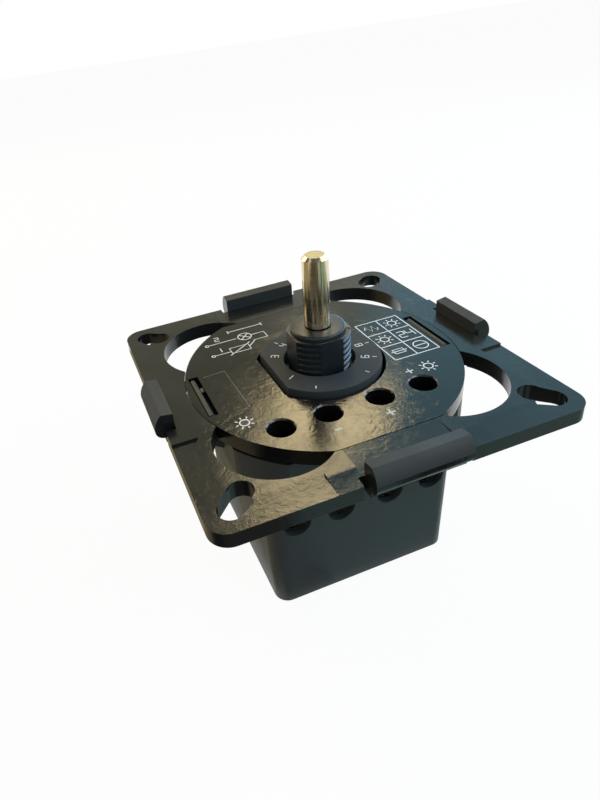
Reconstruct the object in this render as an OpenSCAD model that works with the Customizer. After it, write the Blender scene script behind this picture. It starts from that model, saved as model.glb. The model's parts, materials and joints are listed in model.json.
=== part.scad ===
// Flush-mounted rotary dimmer insert with a square clip plate, a potted control
// housing, four screw clamps and a brass shaft that turns and pushes.
// Z points up along the shaft. The housing stands on Z = 0 and the shaft is the Z axis.

/* [Mounting plate] */
// Side of the square plate
plate_side = 54; // [53:0.5:60]
// Thickness of the plate at its edge
plate_t = 2.2; // [2:0.1:3]
// Radius of the plate's four corners
plate_corner_r = 3; // [2:0.5:4]
// How far the middle field stands above the edge strips
field_rise = 0.35; // [0.2:0.05:0.6]
// Width of the lowered strip along each edge
strip_w = 3.9; // [3:0.1:4.5]
// Half length of the break in the front and back strips
strip_break_x = 11.1; // [9:0.1:12]
// Half length of the break in the side strips
strip_break_y = 9.2; // [8:0.1:10]
// Half width of the ramp in front of the disc
ramp_half_w = 7.1; // [6:0.1:8]
// Half width of the ramp behind the disc
ramp_back_half_w = 9.6; // [6:0.1:9.8]
// Distance from the plate's centre to each round cut-out, along the diagonal
cutout_dist = 19.2; // [18.6:0.1:19.6]
// Radius of the round cut-outs
cutout_r = 8.65; // [8:0.05:8.8]
// Distance from the plate's centre to the middle of each box screw slot
box_slot_dist = 31.7; // [31:0.1:32]
// Width of the box screw slots
box_slot_w = 3.6; // [3.2:0.1:4]
// Length of the box screw slots, end to end
box_slot_len = 6.3; // [5:0.1:6.5]

/* [Clip bars] */
// Length of the front and back clip bars
bar_len_x = 13.7; // [10:0.1:15]
// Length of the left and right clip bars
bar_len_y = 10; // [8:0.1:12]
// How far in from the plate's edge the bars' inner faces are
bar_inset = 1.6; // [1.2:0.1:2]
// How far the bars' noses stand out past the plate's edge
bar_nose = 1.35; // [1:0.05:1.6]
// Height of the bars' ridge above the plate's edge
bar_h = 2.6; // [2:0.1:3]
// Width of the notch at each end of a bar
bar_notch = 0.9; // [0.6:0.1:1.2]

/* [Cover disc] */
// Radius of the disc
disc_r = 21.65; // [21:0.05:22]
// Thickness of the disc
disc_t = 2.35; // [2.2:0.05:2.4]
// Distance from the shaft to the disc's front flat
flat_front = 20.2; // [19.8:0.1:20.6]
// Distance from the shaft to the disc's back flat
flat_back = 19.2; // [18.8:0.1:19.6]
// Gap all round the disc
disc_gap = 0.12; // [0.08:0.02:0.2]
// Width of the ledge that the disc lies on
ledge_w = 1.1; // [0.8:0.1:1.4]
// Thickness of the ledge that the disc lies on
ledge_t = 0.75; // [0.6:0.05:1]
// Depth of the relief in the plate's back round the housing
back_relief = 0.15; // [0.1:0.05:0.2]
// Width of that relief beyond the disc's opening
back_relief_w = 1.2; // [0.8:0.1:1.6]
// Distance from the shaft to the snap slots' inner edge
snap_slot_x = 18.9; // [18.6:0.1:19]
// Width of the snap slots
snap_slot_w = 1.6; // [1.5:0.05:1.8]
// Length of the snap slots
snap_slot_len = 11.1; // [9:0.1:12]
// Depth of the skirt that locates the disc in the housing
skirt_depth = 1.2; // [0.8:0.1:1.3]

/* [Housing] */
// Outer width of the housing at its rim
case_w = 31.8; // [31.4:0.1:33]
// Outer depth of the housing at its rim, front to back
case_d = 32.4; // [32:0.1:33]
// Height of the housing's rim above its bottom
case_h = 30.1; // [29:0.1:34]
// How far the housing's middle lies to the right of the shaft
case_shift = -0.9; // [-1.2:0.1:0]
// Wall thickness of the housing
case_wall = 1.2; // [1:0.05:1.3]
// Thickness of the housing's bottom
case_floor = 1.8; // [1.4:0.1:2.4]
// Radius of the housing's upright corners
case_corner_r = 3; // [2.6:0.1:4]
// How far each side draws in from rim to bottom
case_draft = 0.75; // [0.3:0.05:0.9]
// Width of the bevel round the housing's bottom edge
case_bevel = 1; // [0.6:0.1:1.2]
// Thickness of the snap arms
arm_t = 0.7; // [0.6:0.05:0.8]
// Half width of the tabs that the plate rests on
tab_half_w = 4.5; // [3:0.1:6]
// Radius of the housing's collar
collar_r = 21.6; // [21.2:0.05:21.6]
// Height of the collar
collar_h = 5; // [4:0.1:5.5]
// Distance from the shaft to the collar's side flats
collar_side = 18.8; // [18.4:0.1:18.9]
// Distance from the shaft to the collar's front and back flats
collar_front = 17.05; // [16.8:0.05:17.6]
// Radius of the posts that carry the circuit board
post_r = 2; // [1.8:0.1:2.4]

/* [Clamps] */
// Radius of the screwdriver holes in the disc
driver_hole_r = 1.95; // [1.9:0.05:2.2]
// Bevel round the screwdriver holes
driver_hole_bevel = 0.2; // [0.1:0.05:0.3]
// Distance between the two clamps of a pair
clamp_pitch = 7.2; // [7.1:0.05:7.4]
// Distance between the two middle clamps
clamp_gap = 8.2; // [8:0.1:8.6]
// Distance from the housing's front back to the clamp screws
clamp_setback = 3.6; // [3.5:0.05:3.8]
// Radius of the wire entries
wire_r = 2.2; // [1.8:0.05:2.25]
// Depth of the wire entries' centres below the housing's rim
wire_depth = 12.7; // [11.6:0.1:12.9]
// Outer width of a clamp cage
cage_w = 4.6; // [4.2:0.1:4.7]
// Depth of a clamp cage, front to back
cage_d = 3.6; // [3.2:0.1:3.7]
// Side wall of a clamp cage
cage_wall = 0.6; // [0.5:0.05:0.7]
// Radius of the clamp screws' thread
screw_r = 1.5; // [1.25:0.05:1.6]
// Radius of the clamp screws' heads
screw_head_r = 1.65; // [1.6:0.05:1.7]
// Height of the clamp screws' heads
screw_head_h = 2; // [1.6:0.1:2.2]
// Travel of a clamp cage from open to shut
clamp_lift = 3.5; // [2.5:0.1:3.8]
// Thickness of the clamps' contact bars
bar_t = 1; // [0.8:0.05:1.2]
// Width of the clamps' contact bars
contact_w = 2.8; // [2.4:0.1:2.9]

/* [Shaft and neck] */
// Diameter of the shaft
shaft_d = 4; // [3.8:0.1:4.2]
// Height of the shaft's top above the plate's edge
shaft_top = 18.65; // [14:0.05:24]
// Bevel at the shaft's top
shaft_bevel = 0.5; // [0.3:0.1:0.8]
// Running clearance round the shaft
shaft_fit = 0.05; // [0.02:0.01:0.08]
// Nominal diameter of the neck's thread
neck_d = 10; // [9.5:0.1:10.4]
// Height of the neck's top above the plate's edge
neck_top = 7.1; // [6:0.1:9]
// Distance across the neck's flats
neck_flats = 9.2; // [9:0.05:9.4]
// Push travel of the shaft
push_travel = 1.5; // [0.8:0.1:1.6]
// Radius of the raised face plate round the neck
face_r = 9.71; // [9.3:0.05:10]
// Distance from the shaft to the face plate's flat
face_flat = 8; // [7.5:0.1:8.4]
// Gap between the face plate and the disc
face_gap = 0.6; // [0.4:0.05:0.7]
// Height of the face plate above the plate's edge
face_rise = 1.3; // [1:0.05:1.6]
// Thickness of the face plate
face_t = 1.8; // [1.5:0.1:2]
// Gap between the neck and the face plate
face_bore_gap = 0.6; // [0.4:0.05:0.8]

/* [Potentiometer and switch] */
// Outer radius of the potentiometer's case
pot_r = 9.1; // [8.8:0.05:9.15]
// Wall of the potentiometer's case
pot_wall = 1; // [0.8:0.05:1.1]
// Height of the potentiometer's case
pot_h = 7.8; // [7.4:0.1:8]
// Thickness of the neck's flange
flange_t = 1.2; // [1:0.05:1.3]
// Thickness of the resistor disc
track_t = 0.8; // [0.6:0.05:1]
// Radius of the rotor's disc
rotor_r = 6.4; // [6:0.1:6.6]
// Outer side of the square switch case
switch_w = 13; // [12.4:0.1:13.6]
// Wall of the switch case
switch_wall = 1; // [0.8:0.05:1.2]
// Mean radius of the return spring
spring_r = 1.6; // [1.4:0.05:1.8]
// Wire diameter of the return spring
spring_wire = 0.36; // [0.3:0.02:0.4]

/* [Circuit board] */
// Depth of the board's underside below the housing's rim
board_depth = 18.3; // [18.3:0.1:18.7]
// Thickness of the board
board_t = 1.6; // [1.2:0.1:1.6]
// Radius of the storage capacitor
can_r = 2.8; // [2.5:0.1:2.9]
// Height of the storage capacitor
can_h = 9.4; // [8:0.2:9.4]
// Radius of the choke's flanges
choke_r = 5; // [4:0.1:5.4]
// Room left under the choke
choke_room = 2; // [1.6:0.1:4]

/* [Hidden] */

$fn = 64;
eps = 0.01;
seat_gap = 0.3;
fit_gap = 0.15;
run_gap = 0.3;

// Heights above the housing's bottom
plate_bottom = case_h + seat_gap;
plate_top = plate_bottom + plate_t;
field_top = plate_top + field_rise;
disc_bottom = field_top - disc_t;
ledge_top = plate_bottom + ledge_t;
collar_bottom = case_h - collar_h;
collar_floor_top = collar_bottom + case_wall;
board_bottom = case_h - board_depth;
board_lift = board_bottom - case_floor;
choke_h = board_lift - choke_room;
board_top = board_bottom + board_t;

plate_half = plate_side / 2;
ramp_slope = field_rise / (plate_half - flat_front);

// Clamp levels, from the wire entries upwards
wire_z = case_h - wire_depth;
clamp_y = case_d / 2 - clamp_setback;
bar_bottom = wire_z + wire_r;
bar_top = bar_bottom + bar_t;
window_bottom = wire_z - wire_r;
window_top = bar_top + fit_gap;
cage_foot = 0.9;
cage_roof = 1.4;
cage_top = window_top + cage_roof;
block_ceiling = cage_top + clamp_lift + 0.25;
head_bottom = block_ceiling + 0.2;
block_roof = 2.8;
block_top = block_ceiling + block_roof;
clamp_x = [for (i = [0:3])
    case_shift + (i < 2 ? -1 : 1) * (clamp_gap / 2 + (i == 0 || i == 3 ? clamp_pitch : 0))];

// Levels of the potentiometer and the switch, from the face plate downwards
face_top = plate_top + face_rise;
flange_top = face_top - face_t;
flange_bottom = flange_top - flange_t;
pot_bottom = flange_bottom - pot_h;
pot_floor_top = pot_bottom + 1;
track_top = pot_floor_top + track_t;
clip_t = 0.5;
clip_top = flange_bottom - 0.05;
hub_top = clip_top - clip_t - push_travel - run_gap;
rotor_disc_t = 1.4;
rotor_disc_bottom = hub_top - rotor_disc_t - 0.4;
hub_bottom = track_top + run_gap;
shaft_r = shaft_d / 2;
bore_r = shaft_r + shaft_fit;
journal_r = shaft_r - 0.25;
journal_bore_r = journal_r + shaft_fit;
shaft_flat = shaft_r * 0.72;
switch_roof = pot_bottom - switch_wall;
shaft_bottom = switch_roof - 0.2;
plunger_top = shaft_bottom - 0.1;
bridge_t = 0.4;
spring_seat = board_top + switch_wall;
bridge_bottom = spring_seat + 3.1;
contact_top = bridge_bottom - push_travel - 0.1;

// Snap arm places, from the slots in the disc
slot_outer = snap_slot_x + snap_slot_w;
barb_out = slot_outer - 0.1;
arm_out = slot_outer - 0.42;
arm_in = arm_out - arm_t;
slot_step = 0.8;
arm_len = snap_slot_len - 0.9;

plastic = [0.17, 0.17, 0.17];
plastic_dark = [0.1, 0.1, 0.11];
brass = [0.76, 0.62, 0.38];
tinned = [0.75, 0.76, 0.76];

// Shape helpers

// A rectangle with true round corners
module round_rect(w, d, r) {
    square([w - 2 * r, d], center = true);
    square([w, d - 2 * r], center = true);
    for (x = [-1, 1], y = [-1, 1])
        translate([x * (w / 2 - r), y * (d / 2 - r)]) circle(r);
}

// A block with upright round corners whose sides draw in evenly towards a bevelled bottom
module drafted_block(w, d, h, r, draft, bevel) {
    low = r - draft;
    for (x = [-1, 1], y = [-1, 1])
        translate([x * (w / 2 - r), y * (d / 2 - r), 0])
            rotate_extrude()
                polygon([[0, 0], [low - bevel, 0], [low, bevel], [r, h], [0, h]]);
    drafted_slab(w, d - 2 * r, h, r, draft, bevel);
    rotate([0, 0, 90]) drafted_slab(d, w - 2 * r, h, r, draft, bevel);
}

module drafted_slab(w, len, h, r, draft, bevel) {
    edge = w / 2;
    translate([0, len / 2, 0]) rotate([90, 0, 0])
        linear_extrude(len)
            polygon([[-edge + draft + bevel, 0], [edge - draft - bevel, 0],
                     [edge - draft, bevel], [edge, h], [-edge, h], [-edge + draft, bevel]]);
}

// Places its child once for each side of the plate: front, right, back and left
module each_side() {
    for (side = [0:3]) rotate([0, 0, 90 * side]) children();
}

function arc(cx, cy, r, from, to, steps) =
    [for (i = [0:steps]) let (a = from + (to - from) * i / steps)
        [cx + r * cos(a), cy + r * sin(a)]];

// Mounting plate

// Outline of the raised field: the middle square and its four arms out to the bars
module field_outline() {
    inner = plate_side - 2 * strip_w;
    square(inner, center = true);
    square([2 * strip_break_x, plate_side], center = true);
    square([plate_side, 2 * strip_break_y], center = true);
}

// Cutter that slopes the front or back field down from the disc's flat to the plate's edge.
// The stem is as wide as the ramp, and the foot as wide as the break in the strip.
module ramp_cutter(flat, half_w) {
    far = plate_half + 1;
    slope = field_rise / (plate_half - flat);
    knee = plate_half - strip_w + 0.6;
    ramp_wedge(flat, far, flat, slope, half_w);
    ramp_wedge(knee, far, flat, slope, strip_break_x);
}

module ramp_wedge(from, to, start, slope, half_w) {
    translate([-half_w, 0, 0]) rotate([90, 0, 90])
        linear_extrude(2 * half_w)
            polygon([[-from, field_top + 1], [-from, field_top - slope * (from - start)],
                     [-to, field_top - slope * (to - start)], [-to, field_top + 1]]);
}

// Section of a clip bar: straight inside, a sloping top, and a rounded nose outside
module bar_section() {
    inner = plate_half - bar_inset;
    nose = plate_half + bar_nose;
    big_r = 3.45;
    small_r = bar_nose;
    top_angle = asin(bar_h / big_r);
    polygon(concat(
        [[inner, -small_r]],
        arc(nose - small_r, 0, small_r, -90, 0, 6),
        arc(nose - big_r, 0, big_r, 0, top_angle, 6),
        [[inner, bar_h - 0.3]]));
}

module clip_bar(len) {
    translate([len / 2, 0, plate_top]) rotate([90, 0, -90])
        linear_extrude(len) bar_section();
}

// Notches at the two ends of a bar
module bar_notches(len) {
    for (s = [-1, 1])
        translate([s * (len + bar_notch) / 2, -plate_half - 1 + (bar_inset + 1) / 2, 0])
            translate([-bar_notch / 2, -(bar_inset + 1) / 2, plate_bottom - 1])
                cube([bar_notch, bar_inset + 1, plate_t + field_rise + 2]);
}

// The round opening that takes the disc, with its two flats
module disc_outline(grow) {
    intersection() {
        circle(disc_r + grow, $fn = 128);
        translate([-disc_r - 1, -flat_front - grow])
            square([2 * disc_r + 2, flat_front + flat_back + 2 * grow]);
    }
}

// The four round cut-outs on the plate's diagonals
module cutouts(inset) {
    for (a = [45:90:315]) rotate(a)
        translate([cutout_dist, 0]) circle(cutout_r - inset, $fn = 96);
}

module box_slot() {
    straight = box_slot_len - box_slot_w;
    translate([box_slot_dist, 0, 0]) {
        square([straight, box_slot_w], center = true);
        for (s = [-1, 1]) translate([s * straight / 2, 0]) circle(box_slot_w / 2);
    }
}

module mounting_plate() {
    color(plastic) {
        difference() {
            union() {
                translate([0, 0, plate_bottom])
                    linear_extrude(plate_t) round_rect(plate_side, plate_side, plate_corner_r);
                translate([0, 0, plate_top - eps])
                    linear_extrude(field_rise + eps) intersection() {
                        field_outline();
                        round_rect(plate_side, plate_side, plate_corner_r);
                    }
            }
            // Opening for the disc, with a ledge left under its rim
            translate([0, 0, ledge_top]) linear_extrude(plate_t + 1) disc_outline(disc_gap);
            translate([0, 0, plate_bottom - 1]) linear_extrude(plate_t + 1) {
                disc_outline(-ledge_w);
                // The ledge is cut away where the snap arms pass
                intersection() {
                    disc_outline(disc_gap);
                    square([2 * disc_r + 1, snap_slot_len + 0.6], center = true);
                }
            }
            // Relief in the back, so that only the outer part lies on the wall
            translate([0, 0, plate_bottom - 1]) linear_extrude(1 + back_relief)
                disc_outline(back_relief_w);
            translate([0, 0, plate_bottom - 1]) linear_extrude(plate_t + 3) {
                cutouts(0);
                for (a = [45:90:315]) rotate(a) box_slot();
            }
            ramp_cutter(flat_front, ramp_half_w);
            rotate([0, 0, 180]) ramp_cutter(flat_back, ramp_back_half_w);
            for (a = [0, 180]) rotate([0, 0, a]) bar_notches(bar_len_x);
            for (a = [90, 270]) rotate([0, 0, a]) bar_notches(bar_len_y);
        }
        for (a = [0, 180]) rotate([0, 0, a]) clip_bar(bar_len_x);
        for (a = [90, 270]) rotate([0, 0, a]) clip_bar(bar_len_y);
    }
}

// Cover disc

module snap_slots(inner, outer, len) {
    for (s = [0, 180]) rotate([0, 0, s])
        translate([inner, -len / 2]) square([outer - inner, len]);
}

module cover_disc() {
    skirt_t = 1;
    color(plastic) difference() {
        union() {
            translate([0, 0, disc_bottom]) linear_extrude(disc_t) disc_outline(0);
            // Skirt inside the housing's collar
            translate([0, 0, case_h - skirt_depth])
                linear_extrude(disc_bottom - case_h + skirt_depth + eps) difference() {
                    collar_room(fit_gap);
                    collar_room(fit_gap + skirt_t);
                }
            // Pads that stand on the collar halfway along each side
            translate([0, 0, case_h]) linear_extrude(disc_bottom - case_h + eps)
                difference() {
                    intersection() {
                        union() {
                            square([tab_half_w, 2 * collar_front], center = true);
                            square([2 * collar_side, tab_half_w], center = true);
                        }
                        collar_outline();
                    }
                    collar_room(fit_gap + skirt_t);
                }
        }
        // The rim is thin where it lies on the plate's ledge, and full in the cut-outs
        translate([0, 0, disc_bottom - 1]) linear_extrude(ledge_top - disc_bottom + 1)
            difference() {
                disc_outline(1);
                disc_outline(-ledge_w - disc_gap);
                cutouts(run_gap);
            }
        // The opening for the face plate is round below, where the neck's flange is
        translate([0, 0, disc_bottom - 1]) {
            linear_extrude(disc_t + 2) face_outline(face_gap);
            cylinder(r = pot_r + run_gap, h = flange_top + run_gap - disc_bottom + 1);
        }
        for (x = clamp_x) translate([x, -clamp_y, 0]) {
            translate([0, 0, disc_bottom - 1]) cylinder(r = driver_hole_r, h = disc_t + 2);
            // The skirt and the pads stand clear of the screwdriver
            translate([0, 0, case_h - skirt_depth - 1])
                cylinder(r = driver_hole_r + run_gap, h = disc_bottom - case_h + skirt_depth + 1);
            translate([0, 0, field_top - driver_hole_bevel])
                cylinder(r1 = driver_hole_r, r2 = driver_hole_r + driver_hole_bevel + eps,
                         h = driver_hole_bevel + eps);
        }
        translate([0, 0, field_top - slot_step]) linear_extrude(slot_step + 1)
            snap_slots(snap_slot_x, slot_outer, snap_slot_len);
        translate([0, 0, disc_bottom - 1]) linear_extrude(disc_t + 2)
            snap_slots(snap_slot_x, arm_out + 0.1, snap_slot_len);
    }
}

// Housing

// Outline of the collar: a circle with four flats
module collar_outline() {
    intersection() {
        circle(collar_r, $fn = 128);
        square([2 * collar_side, 2 * collar_front], center = true);
    }
}

// Room inside the collar
module collar_room(inset) {
    t = case_wall + inset;
    intersection() {
        circle(collar_r - t, $fn = 128);
        square([2 * (collar_side - t), 2 * (collar_front - t)], center = true);
    }
}

// A snap arm on the right: a lug on the collar's flat, and the arm with its rounded barb
module snap_arm() {
    lug_h = 3;
    barb_bottom = field_top - slot_step + 0.05;
    barb_r = (barb_out - arm_in) / 2;
    translate([0, arm_len / 2, 0]) rotate([90, 0, 0]) linear_extrude(arm_len)
        polygon(concat(
            [[collar_side - 0.6, case_h - lug_h - 1.2], [arm_out, case_h - lug_h],
             [arm_out, barb_bottom], [barb_out, barb_bottom]],
            arc(arm_in + barb_r, field_top - fit_gap - barb_r, barb_r, 0, 180, 10),
            [[arm_in, case_h], [collar_side - 0.6, case_h]]));
}

// A tab on the collar's front or back flat, which the plate's ledge rests on
module rest_tab(reach) {
    tab_t = 1.2;
    translate([-tab_half_w, 0, 0]) rotate([90, 0, 90]) linear_extrude(2 * tab_half_w)
        polygon([[-collar_front + 0.6, case_h - tab_t - 2.5], [-collar_front + 0.6, case_h],
                 [-reach, case_h], [-reach, case_h - tab_t]]);
}

module board_post_places() {
    px = case_w / 2 - case_wall - case_draft - post_r - 0.1;
    py = case_d / 2 - case_wall - case_draft - post_r - 0.1;
    for (x = [-1, 1], y = [-1, 1]) translate([case_shift + x * px, y * py, 0]) children();
}

module housing() {
    inner_h = case_h - case_floor;
    inner_draft = case_draft * inner_h / case_h;
    color(plastic) {
        difference() {
            union() {
                difference() {
                    translate([case_shift, 0, 0])
                        drafted_block(case_w, case_d, case_h, case_corner_r, case_draft,
                                      case_bevel);
                    translate([-case_w, -case_d, collar_bottom])
                        cube([2 * case_w, 2 * case_d, collar_h + 1]);
                }
                translate([0, 0, collar_bottom]) linear_extrude(collar_h) collar_outline();
            }
            difference() {
                translate([case_shift, 0, case_floor])
                    drafted_block(case_w - 2 * case_wall, case_d - 2 * case_wall, inner_h,
                                  case_corner_r - case_wall, inner_draft, 0.3);
                translate([-case_w, -case_d, collar_floor_top])
                    cube([2 * case_w, 2 * case_d, collar_h]);
            }
            translate([0, 0, collar_floor_top]) linear_extrude(collar_h) collar_room(0);
            for (x = clamp_x)
                translate([x, -case_d / 2 + 2 * case_wall, wire_z]) rotate([90, 0, 0])
                    cylinder(r = wire_r, h = 3 * case_wall);
        }
        for (side = [0, 1]) mirror([side, 0, 0]) snap_arm();
        rest_tab(flat_front - run_gap);
        mirror([0, 1, 0]) rest_tab(flat_back - run_gap);
        board_post_places() difference() {
            translate([0, 0, case_floor - eps]) cylinder(r = post_r, h = board_lift + eps);
            translate([0, 0, case_floor + 2]) cylinder(r = 0.85, h = board_lift);
        }
    }
}

// Face plate, neck and shaft

// Outline of the face plate: a circle with one flat on the left
module face_outline(grow) {
    r = face_r + grow;
    intersection() {
        circle(r, $fn = 96);
        translate([-face_flat - grow, -r]) square([face_flat + grow + r, 2 * r]);
    }
}

module face_plate() {
    color(plastic) translate([0, 0, flange_top]) linear_extrude(face_t) difference() {
        face_outline(0);
        circle(neck_d / 2 + face_bore_gap);
    }
}

// The neck is cast in one with its round flange. Four flats leave four threaded corners.
module threaded_neck() {
    top = plate_top + neck_top;
    neck_r = neck_d / 2;
    shoulder_h = 0.75;
    shoulder_r = neck_r - 0.75;
    color(plastic_dark) difference() {
        union() {
            translate([0, 0, flange_bottom]) cylinder(r = pot_r, h = flange_t, $fn = 96);
            intersection() {
                rotate_extrude()
                    polygon([[0, flange_bottom], [neck_r, flange_bottom],
                             [neck_r, top - shoulder_h], [shoulder_r, top - shoulder_h],
                             [shoulder_r, top - 0.25], [shoulder_r - 0.25, top], [0, top]]);
                translate([-neck_flats / 2, -neck_flats / 2, flange_bottom])
                    cube([neck_flats, neck_flats, top]);
            }
        }
        // The bore is wider above, where the thick end of the shaft dips in
        translate([0, 0, flange_bottom - 1]) cylinder(r = journal_bore_r, h = top);
        translate([0, 0, top - push_travel - run_gap]) cylinder(r = bore_r, h = top);
    }
}

// The shaft turns and slides in the neck. Its lower end has a flat that drives the rotor.
module shaft() {
    top = plate_top + shaft_top;
    step = plate_top + neck_top + push_travel;
    groove = clip_top - clip_t - 0.05;
    color(brass) difference() {
        rotate_extrude()
            polygon([[0, shaft_bottom], [journal_r - 0.3, shaft_bottom],
                     [journal_r, shaft_bottom + 0.3],
                     [journal_r, groove], [journal_r - 0.35, groove],
                     [journal_r - 0.35, clip_top + 0.02], [journal_r, clip_top + 0.02],
                     [journal_r, step - 1.3], [shaft_r, step - 1.3],
                     [shaft_r, top - shaft_bevel], [shaft_r - shaft_bevel, top], [0, top]]);
        translate([shaft_flat, -shaft_r, shaft_bottom - 1])
            cube([shaft_r, shaft_d, hub_top + push_travel + 0.1 - shaft_bottom + 1]);
    }
}

// Open spring clip that sits in the shaft's groove under the neck
module shaft_clip() {
    color(tinned) translate([0, 0, clip_top - clip_t]) linear_extrude(clip_t) difference() {
        circle(journal_r + 1.3);
        circle(journal_r - 0.3);
        translate([0, -0.9]) square([journal_r + 2, 1.8]);
    }
}

// Potentiometer

module pot_case() {
    stop_w = 2;
    color(plastic_dark) {
        difference() {
            translate([0, 0, pot_bottom]) cylinder(r = pot_r, h = pot_h, $fn = 96);
            translate([0, 0, pot_floor_top]) cylinder(r = pot_r - pot_wall, h = pot_h, $fn = 96);
            translate([0, 0, pot_bottom - 1]) cylinder(r = bore_r + 0.2, h = pot_h);
        }
        // Stop for the rotor's lug, at the front
        translate([-stop_w / 2, -pot_r + pot_wall / 2, rotor_disc_bottom])
            cube([stop_w, 1.5, flange_bottom - rotor_disc_bottom]);
    }
}

module resistor_disc() {
    color([0.45, 0.3, 0.15]) translate([0, 0, pot_floor_top]) linear_extrude(track_t)
        difference() {
            circle(pot_r - pot_wall - 0.1, $fn = 96);
            circle(shaft_r + 1.2);
        }
}

// Rotor with its hub and the lug that meets the stop at each end of the turn
module rotor() {
    lug_w = 1.8;
    color([0.85, 0.84, 0.8]) difference() {
        union() {
            translate([0, 0, hub_bottom]) cylinder(r = shaft_r + 1.1, h = hub_top - hub_bottom);
            translate([0, 0, rotor_disc_bottom]) cylinder(r = rotor_r, h = rotor_disc_t);
            translate([-lug_w / 2, 0, rotor_disc_bottom])
                cube([lug_w, rotor_r + 1, rotor_disc_t]);
        }
        translate([0, 0, hub_bottom - 1]) linear_extrude(hub_top - hub_bottom + 2)
            difference() {
                circle(journal_bore_r);
                translate([shaft_flat + shaft_fit, -shaft_r * 2]) square(shaft_r * 4);
            }
    }
}

// Two spring fingers under the rotor that wipe the resistor disc
module wiper() {
    finger_t = 0.35;
    color([0.8, 0.6, 0.35]) {
        translate([0, 0, rotor_disc_bottom - finger_t]) linear_extrude(finger_t) difference() {
            circle(rotor_r - 0.4);
            circle(shaft_r + 1.4);
            translate([-rotor_r, -rotor_r]) square([2 * rotor_r, rotor_r + 1]);
        }
        for (x = [-0.9, 0.9])
            translate([x - 0.35, rotor_r - 1.6, track_top + 0.1])
                cube([0.7, 0.9, rotor_disc_bottom - finger_t - track_top]);
    }
}

// Three leads from the resistor disc's front edge down to the board
module pot_lead_places() {
    for (x = [-2.6, 0, 2.6]) translate([x, 0]) children();
}

module pot_leads() {
    lead_y = switch_w / 2 + 0.3;
    color(tinned) pot_lead_places()
        translate([-0.4, -lead_y - 0.6, board_top]) cube([0.8, 0.6, pot_bottom - board_top]);
}

// Push switch

module switch_case() {
    inner = switch_w - 2 * switch_wall;
    color(plastic_dark) difference() {
        translate([0, 0, board_top]) linear_extrude(pot_bottom - board_top)
            round_rect(switch_w, switch_w, 1);
        translate([-inner / 2, -inner / 2, spring_seat])
            cube([inner, inner, switch_roof - spring_seat]);
        translate([0, 0, switch_roof - 1]) cylinder(r = bore_r + 0.2, h = switch_wall + 2);
    }
}

// Plunger with a square collar that the case guides
module push_plunger() {
    collar = switch_w - 2 * switch_wall - 2 * 0.25;
    collar_t = 1.2;
    color([0.86, 0.85, 0.8]) {
        translate([0, 0, bridge_bottom + bridge_t])
            cylinder(r = shaft_r + 0.6, h = plunger_top - bridge_bottom - bridge_t);
        translate([0, 0, bridge_bottom + bridge_t + 0.6]) linear_extrude(collar_t)
            round_rect(collar, collar, 0.8);
    }
}

module contact_bridge() {
    span = switch_w - 2 * switch_wall - 1.6;
    color([0.8, 0.6, 0.35]) translate([0, 0, bridge_bottom]) linear_extrude(bridge_t)
        round_rect(span, 3.6, 0.8);
}

module fixed_contacts() {
    pad = 1.6;
    reach = (switch_w - 2 * switch_wall - 1.6) / 2 - pad / 2;
    color(tinned) for (s = [-1, 1])
        translate([s * reach, 0, spring_seat]) {
            translate([-pad / 2, -pad, 0]) cube([pad, 2 * pad, contact_top - spring_seat - 0.4]);
            translate([0, 0, contact_top - spring_seat - 0.4 - eps]) cylinder(r = pad / 2, h = 0.4 + eps);
        }
}

// Return spring: one wire wound in a helix, with a flat turn at each end
module return_spring() {
    sides = 6;
    steps = 14;
    flat_turns = 0.75;
    open_turns = 2.5;
    turns = open_turns + 2 * flat_turns;
    low = spring_seat + spring_wire / 2 + 0.02;
    high = bridge_bottom - spring_wire / 2 - 0.02;
    count = round(turns * steps);
    flat_rise = spring_wire * 1.05 * flat_turns;
    function rise(t) = t < flat_turns ? flat_rise * t / flat_turns
        : t > turns - flat_turns ? high - low - flat_rise * (turns - t) / flat_turns
        : flat_rise + (high - low - 2 * flat_rise) * (t - flat_turns) / open_turns;
    points = [for (i = [0:count], j = [0:sides - 1])
        let (t = i / steps, a = 360 * t, b = 360 * j / sides,
             reach = spring_r + spring_wire / 2 * cos(b))
        [reach * cos(a), reach * sin(a), low + rise(t) + spring_wire / 2 * sin(b)]];
    faces = concat(
        [[for (j = [0:sides - 1]) j]],
        [for (i = [0:count - 1], j = [0:sides - 1]) let (k = (j + 1) % sides)
            [i * sides + j, (i + 1) * sides + j, (i + 1) * sides + k, i * sides + k]],
        [[for (j = [sides - 1:-1:0]) count * sides + j]]);
    color(tinned) polyhedron(points, faces);
}

// Circuit board and its parts

module circuit_board() {
    low = case_draft * (case_h - board_bottom) / case_h;
    w = case_w - 2 * case_wall - 2 * low - 0.5;
    d = case_d - 2 * case_wall - 2 * low - 0.5;
    color([0.12, 0.35, 0.2]) translate([0, 0, board_bottom]) difference() {
        translate([case_shift, 0, 0]) linear_extrude(board_t) round_rect(w, d, 1.5);
        board_post_places() translate([0, 0, -1]) cylinder(r = 1.2, h = board_t + 2);
    }
}

// Board screws in the two back posts
module board_screws() {
    color(tinned) intersection() {
        board_post_places() {
            translate([0, 0, board_top]) cylinder(r = 1.9, h = 1.2);
            translate([0, 0, board_bottom - 4]) cylinder(r = 0.8, h = board_t + 4 + eps);
        }
        translate([-case_w, 0, 0]) cube([2 * case_w, case_d, plate_top]);
    }
}

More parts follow.
